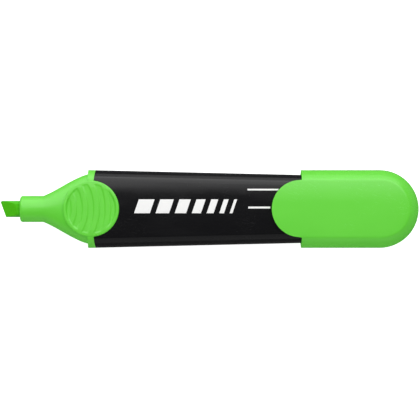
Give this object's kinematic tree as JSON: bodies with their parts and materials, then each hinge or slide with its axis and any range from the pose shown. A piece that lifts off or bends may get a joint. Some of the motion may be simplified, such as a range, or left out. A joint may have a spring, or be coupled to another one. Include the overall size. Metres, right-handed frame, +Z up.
{
  "type": "highlighter pen",
  "caption": "Flat-bodied highlighter with a chisel nib, tapered barrel, round finger grips and a tongued cap that slides off the rear end.",
  "frame": {"origin": "on the surface the pen lies on, below the middle of its length and width", "axes": "+X along the pen from the nib towards the cap's round end, +Y across its width towards the nib's leading corner, +Z up through its thickness"},
  "size_m": [0.1338, 0.025, 0.0152],
  "materials": {
    "barrel_plastic": "glossy black moulding",
    "front_plastic": "satin green moulding",
    "nib_fibre": "ink-soaked pressed fibre",
    "reservoir_fibre": "ink-soaked fibre wadding",
    "wrap_film": "thin clear film",
    "cap_plastic": "satin green moulding",
    "liner_plastic": "soft green moulding"
  },
  "bodies": {
    "pen": {"barrel": "barrel_plastic", "front_section": "front_plastic", "nib": "nib_fibre", "ink_reservoir": "reservoir_fibre", "reservoir_wrap": "wrap_film"},
    "cap": {"cap": "cap_plastic", "inner_cap": "liner_plastic"}
  },
  "joints": [
    {"name": "cap_pull", "type": "slide", "parent": "pen", "child": "cap", "axis": [1, 0, 0], "range_m": [0, 0.03]}
  ]
}
